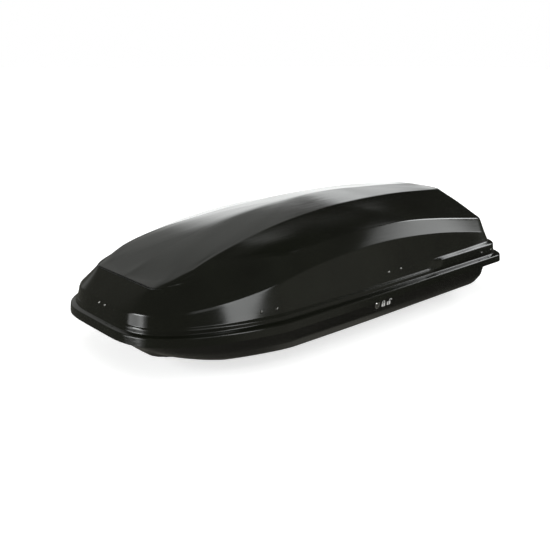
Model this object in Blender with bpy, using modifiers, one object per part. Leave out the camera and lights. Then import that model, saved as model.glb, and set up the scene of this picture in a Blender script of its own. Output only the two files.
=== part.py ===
"""Roof cargo box: a low-nosed, two-shell luggage box that clamps on a car's two roof bars.

Box coordinates, in metres: x runs back from the nose tip, y to the hinged side, z up from the lid's lip.
Every part hangs on the empty "datum", which puts the middle of the box over the world's origin.
"""

import math

import bmesh
import bpy
from mathutils import Matrix, Vector

# Driving dimensions
LENGTH = 1.92
HALF_WIDTH = 0.465
TAIL_TAPER = 0.022
SHELL = 0.004
GAP = 0.0003
FLOOR = -0.115
LIP_TOP = 0.030

# Roof bars and the clamps that hold them
BAR_X = (0.59, 1.30)
CLAMP_Y = 0.25
BAR_ROOM = 0.036
BOLT_RADIUS = 0.0035
BOLT_HALF_SPAN = 0.042
SLOT_HALF_LENGTH = 0.11
SLOT_HALF_WIDTH = 0.006
RAIL_THICKNESS = 0.002
BRIDGE_THICKNESS = 0.005

# Lid hinge
HINGE_X = (0.50, 0.95, 1.40)
HINGE_Y = 0.4745
HINGE_Z = -0.0053
KNUCKLE_RADIUS = 0.005
PIN_RADIUS = 0.0024
KNUCKLE_LENGTH = 0.020

# Lid stays
STAY_X = (0.47, 1.62)
STAY_FOOT = (0.374, -0.060)
STAY_HEAD = (0.330, 0.150)
STAY_TUBE_RADIUS = 0.009
STAY_ROD_RADIUS = 0.004
STAY_THROW = 0.090

# Central lock on the opening side
LOCK_X = 0.985
LOCK_Z = -0.027
CAM_RADIUS = 0.016
CAM_LEAN = math.radians(45)
ROD_TRAVEL = 2 * CAM_RADIUS * math.sin(CAM_LEAN)
CATCH_X = (0.44, 1.095, 1.735)
CATCH_Z = 0.002
RIVET_SPACING = (0.060, 0.075, 0.075)
RIVET_Z = (0.075, 0.090, 0.057)
GUIDE_X = (0.56, 0.84, 1.52)
ROD_Y = -0.398
ROD_THICKNESS = 0.003
ROD_TOP = -0.004
ROD_BOTTOM = -0.016
STRIKER_Y = -0.4000

# Luggage straps
STRAP_X = (0.80, 1.08)
STRAP_HALF_WIDTH = 0.0125
STRAP_HALF_SPAN = 0.185
STRAP_THICKNESS = 0.0016

# The origin is under the middle of the whole box: its lowest point is the underside of the U-bolts, and
# the hinge knuckles stand out past the lip on one side.
LIP_HEIGHT = -(FLOOR - BAR_ROOM - 2 * BOLT_RADIUS)
ORIGIN_Y = (HINGE_Y + KNUCKLE_RADIUS - HALF_WIDTH) / 2

BLACK_GLOSS = ("lid_plastic", (0.018, 0.019, 0.018), 0.28, 0.0)
BLACK_SATIN = ("tray_plastic", (0.022, 0.022, 0.021), 0.45, 0.0)
BLACK_HARDWARE = ("black_nylon", (0.016, 0.016, 0.016), 0.55, 0.0)
STEEL = ("zinc_steel", (0.62, 0.62, 0.60), 0.35, 1.0)
CHROME = ("lock_chrome", (0.80, 0.80, 0.80), 0.15, 1.0)
GREY_KNOB = ("grey_nylon", (0.16, 0.16, 0.165), 0.50, 0.0)
WEBBING = ("strap_webbing", (0.03, 0.03, 0.035), 0.85, 0.0)


# Scene helpers

def clear_scene():
    for item in list(bpy.data.objects):
        bpy.data.objects.remove(item)


def new_collection(name):
    collection = bpy.data.collections.new(name)
    bpy.context.scene.collection.children.link(collection)
    return collection


def material(finish):
    name, colour, roughness, metallic = finish
    existing = bpy.data.materials.get(name)
    if existing:
        return existing
    made = bpy.data.materials.new(name)
    made.use_nodes = True
    made.diffuse_color = (*colour, 1.0)
    shader = made.node_tree.nodes["Principled BSDF"]
    shader.inputs["Base Color"].default_value = (*colour, 1.0)
    shader.inputs["Roughness"].default_value = roughness
    shader.inputs["Metallic"].default_value = metallic
    return made


def add_part(name, mesh, finish, location=(0.0, 0.0, 0.0), rotation=(0.0, 0.0, 0.0), on_lid=False):
    """Link a mesh as one named sub-part, hung on the datum, or on the hinge line if it opens with the lid."""
    part = bpy.data.objects.new(name, mesh)
    PARTS.objects.link(part)
    part.parent = LID_AXIS if on_lid else DATUM
    part.location = Vector(location) - LID_AXIS.location if on_lid else Vector(location)
    part.rotation_euler = rotation
    own = material(finish).copy()
    own.name = name + "_finish"
    mesh.materials.clear()
    mesh.materials.append(own)
    return part


def mesh_from(bm, name, smooth_angle=None):
    bmesh.ops.recalc_face_normals(bm, faces=bm.faces)
    mesh = bpy.data.meshes.new(name)
    bm.to_mesh(mesh)
    bm.free()
    if smooth_angle is not None:
        mesh.shade_smooth()
        mesh.set_sharp_from_angle(angle=math.radians(smooth_angle))
    return mesh


def baked(source):
    """The evaluated mesh of an object, which is then removed."""
    bpy.context.view_layer.update()
    graph = bpy.context.evaluated_depsgraph_get()
    mesh = bpy.data.meshes.new_from_object(source.evaluated_get(graph))
    bpy.data.objects.remove(source)
    return mesh


def combine(base, steps, name):
    """Join ("UNION") or cut ("DIFFERENCE") meshes with a base mesh, one after the other."""
    body = bpy.data.objects.new(name, base)
    bpy.context.scene.collection.objects.link(body)
    tools = []
    for operation, mesh in steps:
        tool = bpy.data.objects.new(name + "_tool", mesh)
        CUTTERS.objects.link(tool)
        tool.hide_render = True
        tool.display_type = "WIRE"
        tools.append(tool)
        boolean = body.modifiers.new(operation.lower(), "BOOLEAN")
        boolean.operation = operation
        boolean.object = tool
    result = baked(body)
    for tool in tools:
        bpy.data.objects.remove(tool)
    return result


# Shape helpers

def box(low, high):
    """A closed block between two corners."""
    bm = bmesh.new()
    bmesh.ops.create_cube(bm, size=1.0)
    low, high = Vector(low), Vector(high)
    size = high - low
    for vert in bm.verts:
        vert.co = low + Vector((vert.co[i] + 0.5) * size[i] for i in range(3))
    return mesh_from(bm, "box")


def rod(start, end, radius, sides=16):
    """A closed cylinder between two points."""
    start, end = Vector(start), Vector(end)
    bm = bmesh.new()
    bmesh.ops.create_cone(
        bm, cap_ends=True, segments=sides, radius1=radius, radius2=radius, depth=(end - start).length
    )
    turn = (end - start).to_track_quat("Z", "Y").to_matrix().to_4x4()
    bmesh.ops.transform(bm, matrix=Matrix.Translation((start + end) / 2) @ turn, verts=bm.verts)
    return mesh_from(bm, "rod", smooth_angle=40)


def plate(outline, thickness, normal_axis):
    """A flat outline in the plane across an axis ("x", "y" or "z"), extruded from it along that axis."""
    place = {
        "x": lambda a, b: (0.0, a, b),
        "y": lambda a, b: (a, 0.0, b),
        "z": lambda a, b: (a, b, 0.0),
    }[normal_axis]
    along = Vector(place(0.0, 0.0))
    along["xyz".index(normal_axis)] = thickness
    bm = bmesh.new()
    face = bm.faces.new([bm.verts.new(place(a, b)) for a, b in outline])
    extruded = bmesh.ops.extrude_face_region(bm, geom=[face])
    moved = [item for item in extruded["geom"] if isinstance(item, bmesh.types.BMVert)]
    bmesh.ops.translate(bm, vec=along, verts=moved)
    return mesh_from(bm, "plate")


def moved(mesh, offset):
    mesh.transform(Matrix.Translation(offset))
    return mesh


def turned(profile, steps=16):
    """A solid of revolution about Z from (radius, z) points, axis to axis or round to the first."""
    bm = bmesh.new()
    closed = profile[0] == profile[-1]
    verts = [bm.verts.new((radius, 0.0, z)) for radius, z in profile[closed:]]
    pairs = list(zip(verts, verts[1:]))
    if closed:
        pairs.append((verts[-1], verts[0]))
    for first, second in pairs:
        bm.edges.new((first, second))
    mesh = bpy.data.meshes.new("profile")
    bm.to_mesh(mesh)
    bm.free()
    holder = bpy.data.objects.new("profile", mesh)
    bpy.context.scene.collection.objects.link(holder)
    screw = holder.modifiers.new("turn", "SCREW")
    screw.steps = steps
    screw.render_steps = steps
    screw.use_merge_vertices = True
    screw.merge_threshold = 0.00001
    screw.use_smooth_shade = True
    return baked(holder)


def stacked_rings(rings):
    """A closed solid through rings of equally many points, with both ends capped."""
    bm = bmesh.new()
    loops = [[bm.verts.new(point) for point in ring] for ring in rings]
    count = len(loops[0])
    for lower, upper in zip(loops, loops[1:]):
        for i in range(count):
            j = (i + 1) % count
            bm.faces.new((lower[i], lower[j], upper[j], upper[i]))
    bm.faces.new(loops[0])
    bm.faces.new(loops[-1])
    return mesh_from(bm, "rings", smooth_angle=35)


def stadium(half_length, half_width, steps=6):
    """Outline of a slot with round ends, long in its first direction."""
    straight = half_length - half_width
    points = []
    for side in (1, -1):
        for i in range(steps + 1):
            angle = math.pi * (i / steps - 0.5)
            reach = straight + half_width * math.cos(angle)
            points.append((side * reach, side * half_width * math.sin(angle)))
    return points


# Shell outlines

def curve_value(pairs, x):
    """Smooth value at x through (x, value) pairs, level beyond both ends."""
    if x <= pairs[0][0]:
        return pairs[0][1]
    if x >= pairs[-1][0]:
        return pairs[-1][1]

    def slope(i):
        before, after = pairs[max(i - 1, 0)], pairs[min(i + 1, len(pairs) - 1)]
        return (after[1] - before[1]) / (after[0] - before[0])

    i = max(k for k in range(len(pairs) - 1) if pairs[k][0] <= x)
    span = pairs[i + 1][0] - pairs[i][0]
    t = (x - pairs[i][0]) / span
    start, end = pairs[i][1], pairs[i + 1][1]
    rise = t * (1 - t) ** 2 * slope(i) - t * t * (1 - t) * slope(i + 1)
    return (1 + 2 * t) * (1 - t) ** 2 * start + t * t * (3 - 2 * t) * end + rise * span


def lip_half_width(x):
    return curve_value([(0.4, HALF_WIDTH), (0.9, HALF_WIDTH), (LENGTH, HALF_WIDTH - TAIL_TAPER)], x)


class EdgeLine:
    """One long edge of a shell: from the centre of the nose, round one side, to the centre of the tail.

    width and height are curve_value pairs along x. The nose has a straight front of half width `front`,
    then a flank of length nose_length whose bend and squareness set its plan shape; the tail is a
    rounded corner of length tail_length.
    """

    def __init__(self, nose, tail, width, height, front=0.06, nose_length=0.49, bend=1.25, square=3.3,
                 tail_length=0.12):
        self.nose = nose
        self.tail = tail
        self.width = width
        self.height = height
        self.front = front
        self.nose_length = nose_length
        self.bend = bend
        self.square = square
        self.tail_length = tail_length

    def point(self, u):
        """Point at u: 0 to 1 is the front, 1 to 2 the nose flank, 2 to 3 the side, 3 to 4 the tail."""
        side_start = self.nose + self.nose_length
        side_end = self.tail - self.tail_length
        if u <= 1:
            x, y = self.nose, self.front * u
        elif u <= 2:
            angle = (u - 1) * math.pi / 2
            x = self.nose + self.nose_length * (1 - max(math.cos(angle), 0.0) ** (2 / self.bend))
            full = curve_value(self.width, x)
            y = self.front + (full - self.front) * math.sin(angle) ** (2 / self.square)
        elif u <= 3:
            x = side_start + (side_end - side_start) * (u - 2)
            y = curve_value(self.width, x)
        else:
            angle = (u - 3) * math.pi / 2
            x = side_end + self.tail_length * math.sin(angle)
            y = curve_value(self.width, x) * max(math.cos(angle), 0.0) ** 0.5 if u < 4 else 0.0
        return Vector((x, -y, curve_value(self.height, x)))

    def half_width(self, x):
        """Half width of the line at x, ahead of its tail corner."""
        full = curve_value(self.width, x)
        reach = min(max((x - self.nose) / self.nose_length, 0.0), 1.0)
        return self.front + (full - self.front) * (1 - (1 - reach) ** self.bend) ** (1 / self.square)


def inset_width(inset):
    return [(x, lip_half_width(x) - inset) for x in (0.4, 0.9, 1.4, LENGTH)]


LID_LIP_BOTTOM = EdgeLine(0.0, LENGTH, inset_width(0.0), [(0.0, 0.0)])
LID_LIP_TOP = EdgeLine(0.003, LENGTH - 0.003, inset_width(0.002), [(0.0, LIP_TOP)])
LID_LEDGE = EdgeLine(0.021, LENGTH - 0.025, inset_width(0.024), [(0.0, 0.035)], nose_length=0.48)
LID_WALL_FOOT = EdgeLine(0.026, LENGTH - 0.033, inset_width(0.032), [(0.0, 0.052)], nose_length=0.47)
LID_SHOULDER = EdgeLine(
    0.036, 1.865, [(0.04, 0.421), (0.2, 0.414), (0.4, 0.406), (0.9, 0.404), (LENGTH, 0.380)],
    [(0.04, 0.094), (0.16, 0.101), (0.31, 0.119), (0.42, 0.138), (0.55, 0.168), (0.71, 0.193),
     (0.91, 0.209), (1.13, 0.210), (1.38, 0.191), (1.6, 0.162), (1.8, 0.130)],
    nose_length=0.47)
LID_FEATURE_LINE = EdgeLine(
    0.120, 1.830, [(0.5, 0.360), (0.98, 0.368), (1.41, 0.366), (1.8, 0.352)],
    [(0.12, 0.163), (0.244, 0.178), (0.417, 0.203), (0.56, 0.232), (0.79, 0.260), (0.98, 0.270),
     (1.22, 0.265), (1.41, 0.246), (1.77, 0.192)],
    front=0.17, nose_length=0.50, bend=1.2, square=1.9, tail_length=0.07)
LID_TOP_EDGE = EdgeLine(
    0.120, 1.775, [(0.12, 0.232), (0.25, 0.232), (0.4, 0.218), (0.6, 0.188), (0.9, 0.164), (1.75, 0.134)],
    [(0.12, 0.163), (0.15, 0.170), (0.2, 0.190), (0.3, 0.226), (0.4, 0.252), (0.5, 0.272), (0.7, 0.301),
     (0.9, 0.318), (1.08, 0.328), (1.39, 0.326), (1.74, 0.302)],
    front=0.17, nose_length=0.13, bend=1.3, square=2.3, tail_length=0.05)
RIDGE_HEIGHT = [(0.12, 0.163), (0.22, 0.207), (0.317, 0.246), (0.403, 0.268), (0.514, 0.294), (0.637, 0.317),
                (0.766, 0.333), (0.895, 0.342), (1.03, 0.350), (1.2, 0.350), (1.35, 0.342), (1.52, 0.333),
                (1.70, 0.318), (1.775, 0.302)]
SHELF_START = 1.30
SHELF_RAMP = 0.05
SHELF_HEIGHT = 0.082
SHELF_EDGE_SHARE = [(1.3, 0.204), (1.38, 0.216), (1.6, 0.273), (1.8, 0.385)]
SHELF_TOP_SHARE = [(1.3, 0.252), (1.38, 0.266), (1.6, 0.336), (1.8, 0.474)]
SHELF_EDGE = EdgeLine(0.03, LENGTH - 0.030, inset_width(0.027), [(0.0, SHELF_HEIGHT)], nose_length=0.47)
SHELF_FOOT = EdgeLine(0.026, LENGTH - 0.026, inset_width(0.0245), [(0.0, 0.052)], nose_length=0.47)

TRAY_RIM_TOP = EdgeLine(0.012, LENGTH - 0.012, inset_width(0.010), [(0.0, 0.018)])
TRAY_RIM_FOOT = EdgeLine(0.012, LENGTH - 0.012, inset_width(0.010), [(0.0, -0.004)])
TRAY_WALL_TOP = EdgeLine(0.036, 1.835, inset_width(0.030), [(0.0, -0.004)], nose_length=0.48)
TRAY_WALL_FOOT = EdgeLine(
    0.070, 1.822, inset_width(0.034), [(0.07, -0.040), (0.30, -0.054), (0.5, -0.055)], nose_length=0.47)
TRAY_BEND = EdgeLine(
    0.110, 1.800, inset_width(0.056), [(0.11, -0.066), (0.30, -0.088), (0.5, -0.094)], nose_length=0.45)
TRAY_FLOOR_EDGE = EdgeLine(
    0.170, 1.765, inset_width(0.098), [(0.17, -0.086), (0.25, -0.104), (0.33, FLOOR)], nose_length=0.43)

COLUMNS = (
    [i / 2 for i in range(2)]
    + [1 + i / 11 for i in range(11)]
    + [2 + i / 12 for i in range(12)]
    + [3 + i / 7 for i in range(8)]
)


def step_up(value, start, span):
    """0 before start, 1 after start + span, and a smooth rise between."""
    t = min(max((value - start) / span, 0.0), 1.0)
    return t * t * (3 - 2 * t)


def on_shelf(x, z):
    """0 ahead of the tail's shelf, 1 on it; its front end leans back."""
    return step_up(x, SHELF_START + z - 0.03, SHELF_RAMP)


def wall_row(shares, shelf=None):
    """A row of the lid wall at shares of the way up from its foot, which moves out to the shelf line."""
    row = []
    for u in COLUMNS:
        foot = LID_WALL_FOOT.point(u)
        point = foot.lerp(LID_SHOULDER.point(u), curve_value(shares, foot.x))
        if shelf is not None:
            point = point.lerp(shelf.point(u), on_shelf(point.x, point.z))
        row.append(point)
    return row


def centre_row(line, height, share):
    """A row across the middle of a shell, from a line (0) to the centre plane (1), which follows `height`."""
    row = []
    last = COLUMNS[-1]
    for u in COLUMNS:
        x = line.nose + (line.tail - line.nose) * (u / last) ** 1.15
        point = line.point(u).lerp(Vector((x, 0.0, 0.0)), share)
        point.z = (1 - share) * curve_value(line.height, point.x) + share * curve_value(height, point.x)
        row.append(point)
    return row


def lid_rows():
    rows = [[line.point(u) for u in COLUMNS] for line in (LID_LIP_BOTTOM, LID_LIP_TOP, LID_LEDGE)]
    rows.append(wall_row([(0.0, 0.0)], SHELF_FOOT))
    rows.append(wall_row(SHELF_EDGE_SHARE, SHELF_EDGE))
    rows.append(wall_row(SHELF_TOP_SHARE))
    for line in (LID_SHOULDER, LID_FEATURE_LINE, LID_TOP_EDGE):
        rows.append([line.point(u) for u in COLUMNS])
    rows.append(centre_row(LID_TOP_EDGE, RIDGE_HEIGHT, 0.5))
    rows.append(centre_row(LID_TOP_EDGE, RIDGE_HEIGHT, 1.0))
    return rows


def tray_rows():
    rows = [centre_row(TRAY_FLOOR_EDGE, TRAY_FLOOR_EDGE.height, share) for share in (1.0, 0.5)]
    for line in (TRAY_FLOOR_EDGE, TRAY_BEND, TRAY_WALL_FOOT, TRAY_WALL_TOP, TRAY_RIM_FOOT, TRAY_RIM_TOP):
        rows.append([line.point(u) for u in COLUMNS])
    return rows


def half_shell(rows):
    """The opening-side half of a shell: a net of quads through its rows, from the middle out or up."""
    bm = bmesh.new()
    net = [[bm.verts.new(point) for point in row] for row in rows]
    for lower, upper in zip(net, net[1:]):
        for i in range(len(lower) - 1):
            bm.faces.new((lower[i], lower[i + 1], upper[i + 1], upper[i]))
    bmesh.ops.remove_doubles(bm, verts=bm.verts, dist=0.00001)
    mesh = bpy.data.meshes.new("half_shell")
    bm.to_mesh(mesh)
    bm.free()
    return mesh


def shell(rows, name):
    """A full shell of even thickness from its half net."""
    holder = bpy.data.objects.new(name, half_shell(rows))
    bpy.context.scene.collection.objects.link(holder)
    mirror = holder.modifiers.new("mirror", "MIRROR")
    mirror.use_axis = (False, True, False)
    mirror.merge_threshold = 0.00001
    solid = holder.modifiers.new("thickness", "SOLIDIFY")
    solid.thickness = SHELL
    solid.offset = -1.0
    solid.use_even_offset = True
    return baked(holder)


def lid_wall_y(x, z):
    """Half width of the lid's outer side at a place along it and a height above its wall foot."""
    lines = (LID_WALL_FOOT, LID_SHOULDER, LID_FEATURE_LINE, LID_TOP_EDGE)
    for lower, upper in zip(lines, lines[1:]):
        bottom, top = curve_value(lower.height, x), curve_value(upper.height, x)
        if z <= top:
            share = (z - bottom) / (top - bottom)
            side = lower.half_width(x) + (upper.half_width(x) - lower.half_width(x)) * share
            if z > SHELF_HEIGHT:
                return side
            foot, edge = SHELF_FOOT.half_width(x), SHELF_EDGE.half_width(x)
            face = foot + (edge - foot) * (z - bottom) / (SHELF_HEIGHT - bottom)
            return side + (face - side) * on_shelf(x, z)
    return upper.half_width(x)


# Rivets through the lid, each (outer point, outward direction)

def rivet_seats():
    seats = []
    for x, spacing, z in zip(CATCH_X, RIVET_SPACING, RIVET_Z):
        for side in (-0.5, 0.5):
            place = x + side * spacing
            step = 0.004
            slope_x = (lid_wall_y(place + step, z) - lid_wall_y(place - step, z)) / (2 * step)
            slope_z = (lid_wall_y(place, z + step) - lid_wall_y(place, z - step)) / (2 * step)
            out = Vector((-slope_x, -1.0, -slope_z)).normalized()
            seats.append((Vector((place, -lid_wall_y(place, z), z)), out))
    return seats


def nose_seats():
    foot, top = LID_WALL_FOOT.point(0.0), LID_SHOULDER.point(0.0)
    z = foot.z + 0.72 * (top.z - foot.z)
    x = foot.x + 0.72 * (top.x - foot.x)
    out = Vector((-(top.z - foot.z), 0.0, top.x - foot.x)).normalized()
    return [(Vector((x, side * 0.020, z)), out) for side in (-1, 1)]


def rivet(seat, reach):
    """A domed rivet in a lid wall, whose shank reaches `reach` inside the outer surface."""
    point, out = seat
    dome = [(0.0, 0.0029), (0.0028, 0.0024), (0.0048, 0.0010), (0.0052, 0.0006), (0.0024, 0.0006),
            (0.0024, -reach), (0.0, -reach)]
    mesh = turned(dome, steps=12)
    turn = out.to_track_quat("Z", "Y").to_matrix().to_4x4()
    mesh.transform(Matrix.Translation(point) @ turn)
    return mesh


def rivet_hole(seat):
    point, out = seat
    return rod(point + out * 0.004, point - out * 0.010, 0.0028, sides=10)


# Shells

def build_lid():
    holes = [("DIFFERENCE", rivet_hole(seat)) for seat in rivet_seats() + nose_seats()]
    mesh = combine(shell(lid_rows(), "lid"), holes, "lid")
    add_part("lid_shell", mesh, BLACK_GLOSS, on_lid=True)


def clamp_places():
    return [(x, y) for x in BAR_X for y in (-CLAMP_Y, CLAMP_Y)]


def slot_cutter(x, y, low, high):
    outline = [(x + a, y + b) for a, b in stadium(SLOT_HALF_LENGTH, SLOT_HALF_WIDTH)]
    return moved(plate(outline, high - low, "z"), (0.0, 0.0, low))


def lock_direction():
    """Outward direction of the tray wall at the lock."""
    draft = math.atan2(0.034 - 0.030, 0.055 - 0.004)
    return Vector((0.0, -math.cos(draft), -math.sin(draft)))


def lock_point(depth):
    """Point on the lock's axis at a depth inside the tray wall's outer face."""
    share = (LOCK_Z + 0.004) / (-0.055 + 0.004)
    wall = Vector((LOCK_X, -(lip_half_width(LOCK_X) - 0.030 - 0.004 * share), LOCK_Z))
    return wall - lock_direction() * depth


def build_tray():
    cuts = [("DIFFERENCE", slot_cutter(x, y, FLOOR - 0.01, FLOOR + 0.02)) for x, y in clamp_places()]
    cuts.append(("DIFFERENCE", rod(lock_point(-0.01), lock_point(0.02), 0.0108, sides=24)))
    mesh = combine(shell(tray_rows(), "tray"), cuts, "tray")
    add_part("base_tray", mesh, BLACK_SATIN)


def build_rails():
    """Steel strips that spread the clamps' load along the floor."""
    low = FLOOR + SHELL + GAP
    for side, y in (("near", -CLAMP_Y), ("hinge", CLAMP_Y)):
        strip = box((BAR_X[0] - 0.125, y - 0.030, low), (BAR_X[1] + 0.125, y + 0.030, low + RAIL_THICKNESS))
        slots = [("DIFFERENCE", slot_cutter(x, y, low - 0.01, low + 0.01)) for x in BAR_X]
        add_part("floor_rail_" + side + "_side", combine(strip, slots, "rail"), STEEL)


# Roof-bar clamps

def u_bolt_mesh():
    """A U-bolt about its clamp's place: legs up through the floor, its bend under the bar."""
    bottom = FLOOR - BAR_ROOM - BOLT_RADIUS
    top = FLOOR + SHELL + RAIL_THICKNESS + BRIDGE_THICKNESS + 0.0175
    bend = 0.014
    points = [(-BOLT_HALF_SPAN, top), (-BOLT_HALF_SPAN, -0.120)]
    for side in (-1, 1):
        centre = side * (BOLT_HALF_SPAN - bend)
        steps = range(6) if side < 0 else range(5, -1, -1)
        for i in steps:
            angle = math.pi / 2 * i / 5
            points.append((centre + side * bend * math.cos(angle), bottom + bend - bend * math.sin(angle)))
    points += [(BOLT_HALF_SPAN, -0.120), (BOLT_HALF_SPAN, top)]
    curve = bpy.data.curves.new("u_bolt", "CURVE")
    curve.dimensions = "3D"
    curve.bevel_depth = BOLT_RADIUS
    curve.bevel_resolution = 2
    curve.use_fill_caps = True
    spline = curve.splines.new("POLY")
    spline.points.add(len(points) - 1)
    for target, (x, z) in zip(spline.points, points):
        target.co = (x, 0.0, z, 1.0)
    holder = bpy.data.objects.new("u_bolt", curve)
    bpy.context.scene.collection.objects.link(holder)
    mesh = baked(holder)
    bm = bmesh.new()
    bm.from_mesh(mesh)
    bmesh.ops.remove_doubles(bm, verts=bm.verts, dist=0.00001)
    return mesh_from(bm, "u_bolt", smooth_angle=50)


def bridge_mesh():
    """The plate that both legs of a U-bolt pull down on."""
    block = plate(stadium(0.066, 0.022), BRIDGE_THICKNESS, "z")
    holes = []
    for reach in (-BOLT_HALF_SPAN, BOLT_HALF_SPAN):
        holes.append(("DIFFERENCE", rod((reach, 0.0, -0.01), (reach, 0.0, 0.02), 0.0042, sides=12)))
    return combine(block, holes, "bridge")


def knob_mesh():
    """A five-lobed nut with a blind bore from below."""
    count = 25

    def ring(z, lobed, radius):
        points = []
        for i in range(count):
            angle = 2 * math.pi * i / count
            reach = radius * (1 + (0.13 * math.cos(5 * angle) if lobed else 0.0))
            points.append((reach * math.cos(angle), reach * math.sin(angle), z))
        return points

    return stacked_rings([
        ring(0.0172, False, 0.0042), ring(0.0, False, 0.0042), ring(0.0, True, 0.0165),
        ring(0.015, True, 0.0180), ring(0.019, True, 0.0155), ring(0.022, False, 0.0080),
    ])


def build_clamps():
    bolt, bridge, knob = u_bolt_mesh(), bridge_mesh(), knob_mesh()
    bridge_z = FLOOR + SHELL + RAIL_THICKNESS + 2 * GAP
    knob_z = bridge_z + BRIDGE_THICKNESS + GAP
    names = ("front_near", "front_hinge", "rear_near", "rear_hinge")
    for name, (x, y) in zip(names, clamp_places()):
        add_part("u_bolt_" + name, bolt, STEEL, (x, y, 0.0))
        add_part("bridge_plate_" + name, bridge, BLACK_HARDWARE, (x, y, bridge_z))
        for end, side in (("a", -1), ("b", 1)):
            place = (x + side * BOLT_HALF_SPAN, y, knob_z)
            add_part("knob_" + name + "_" + end, knob, GREY_KNOB, place)


# Lid hinges

def knuckle(centre_x, length, radius=KNUCKLE_RADIUS):
    start = (centre_x - length / 2, HINGE_Y, HINGE_Z)
    return rod(start, (centre_x + length / 2, HINGE_Y, HINGE_Z), radius)


def lid_leaf(x):
    """The leaf on the lid's lip, with the middle knuckle."""
    face = max(lip_half_width(x - 0.032), lip_half_width(x + 0.032)) + GAP
    half = KNUCKLE_LENGTH / 2 - GAP
    leaf = box((x - 0.030, face, 0.003), (x + 0.030, HINGE_Y - 0.003, 0.025))
    web = box((x - half + 0.001, HINGE_Y - 0.0088, -0.0046), (x + half - 0.001, HINGE_Y - 0.0012, 0.006))
    steps = [
        ("UNION", web),
        ("UNION", knuckle(x, 2 * half)),
        ("DIFFERENCE", knuckle(x, 0.1, PIN_RADIUS + GAP)),
    ]
    return combine(leaf, steps, "lid_leaf")


def base_leaf(x):
    """The leaf under the tray's rim, with the two outer knuckles."""
    inner = lip_half_width(x) - 0.0285
    top = -0.004 - GAP
    leaf = box((x - 0.030, inner, top - 0.0025), (x + 0.030, HINGE_Y - 0.004, top))
    half = KNUCKLE_LENGTH / 2 + GAP
    relief = box((x - half, HINGE_Y - 0.012, -0.03), (x + half, 0.5, 0.03))
    steps = []
    for side in (-1, 1):
        steps.append(("UNION", knuckle(x + side * KNUCKLE_LENGTH, KNUCKLE_LENGTH - GAP)))
    steps.append(("DIFFERENCE", relief))
    steps.append(("DIFFERENCE", knuckle(x, 0.1, PIN_RADIUS + GAP)))
    return combine(leaf, steps, "base_leaf")


def build_hinges():
    pin = rod((-0.032, 0.0, 0.0), (0.032, 0.0, 0.0), PIN_RADIUS)
    for place, x in zip(("front", "middle", "rear"), HINGE_X):
        add_part("hinge_base_leaf_" + place, base_leaf(x), STEEL)
        leaf = moved(lid_leaf(x), (-x, -HINGE_Y, -HINGE_Z))
        add_part("hinge_lid_leaf_" + place, leaf, STEEL, (x, HINGE_Y, HINGE_Z), on_lid=True)
        add_part("hinge_pin_" + place, pin, STEEL, (x, HINGE_Y, HINGE_Z))


# Lid stays

def stay_length():
    return math.dist(STAY_FOOT, STAY_HEAD)


def stay_tube_mesh():
    """The gas stay's tube along +Z from its eye, with a bore for the rod."""
    length = stay_length()
    mouth = length - 0.030
    floor = mouth - STAY_THROW - 0.020
    outer, bore = STAY_TUBE_RADIUS, STAY_ROD_RADIUS + 0.0006
    profile = [(bore, floor), (bore, mouth), (outer - 0.001, mouth), (outer, mouth - 0.001), (outer, 0.016),
               (outer - 0.003, 0.012), (0.0, 0.012)]
    tube = turned([(0.0, floor)] + profile, steps=14)
    eye = rod((-0.004, 0.0, 0.0), (0.004, 0.0, 0.0), 0.008, sides=16)
    neck = rod((0.0, 0.0, 0.002), (0.0, 0.0, 0.014), 0.0045, sides=12)
    hole = rod((-0.01, 0.0, 0.0), (0.01, 0.0, 0.0), 0.0043, sides=16)
    return combine(tube, [("UNION", neck), ("UNION", eye), ("DIFFERENCE", hole)], "stay_tube")


def stay_rod_mesh():
    """The stay's rod, from inside the tube to the eye at its head."""
    length = stay_length()
    foot = length - 0.030 - STAY_THROW - 0.012
    shaft = rod((0.0, 0.0, foot), (0.0, 0.0, length - 0.005), STAY_ROD_RADIUS, sides=12)
    eye = rod((-0.004, 0.0, length), (0.004, 0.0, length), 0.008, sides=16)
    hole = rod((-0.01, 0.0, length), (0.01, 0.0, length), 0.0043, sides=16)
    return combine(shaft, [("UNION", eye), ("DIFFERENCE", hole)], "stay_rod")


def stay_foot_bracket(x):
    """The bracket on the tray floor that carries the stay's lower stud."""
    y, z = STAY_FOOT
    base = FLOOR + SHELL + GAP
    outline = [(y - 0.075, base), (y - 0.040, base), (y + 0.007, z - 0.008), (y + 0.009, z + 0.002),
               (y, z + 0.010), (y - 0.009, z + 0.002), (y - 0.060, base + 0.020), (y - 0.075, base + 0.012)]
    arm = moved(plate(outline, 0.003, "x"), (x + 0.006, 0.0, 0.0))
    foot = box((x - 0.014, y - 0.078, base), (x + 0.030, y - 0.042, base + 0.002))
    stud = rod((x - 0.006, y, z), (x + 0.0075, y, z), 0.0040, sides=14)
    return combine(arm, [("UNION", foot), ("UNION", stud)], "foot_bracket")


def stay_head_bracket(x):
    """The bracket on the lid's wall whose ball stud meets the stay's rod."""
    y, z = STAY_HEAD
    outline = [(y, z - 0.008), (y + 0.010, z - 0.010)]
    for height in (z - 0.012, z, z + 0.012, z + 0.024):
        outline.append((lid_wall_y(x, height) - SHELL - 0.0015 - 0.3 * abs(height - z) / 2, height))
    outline += [(y + 0.005, z + 0.016), (y - 0.007, z + 0.006)]
    arm = moved(plate(outline, 0.003, "x"), (x + 0.0085, 0.0, 0.0))
    stud = rod((x + 0.0046, y, z), (x + 0.010, y, z), 0.0060, sides=14)
    return combine(arm, [("UNION", stud)], "head_bracket")


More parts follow.
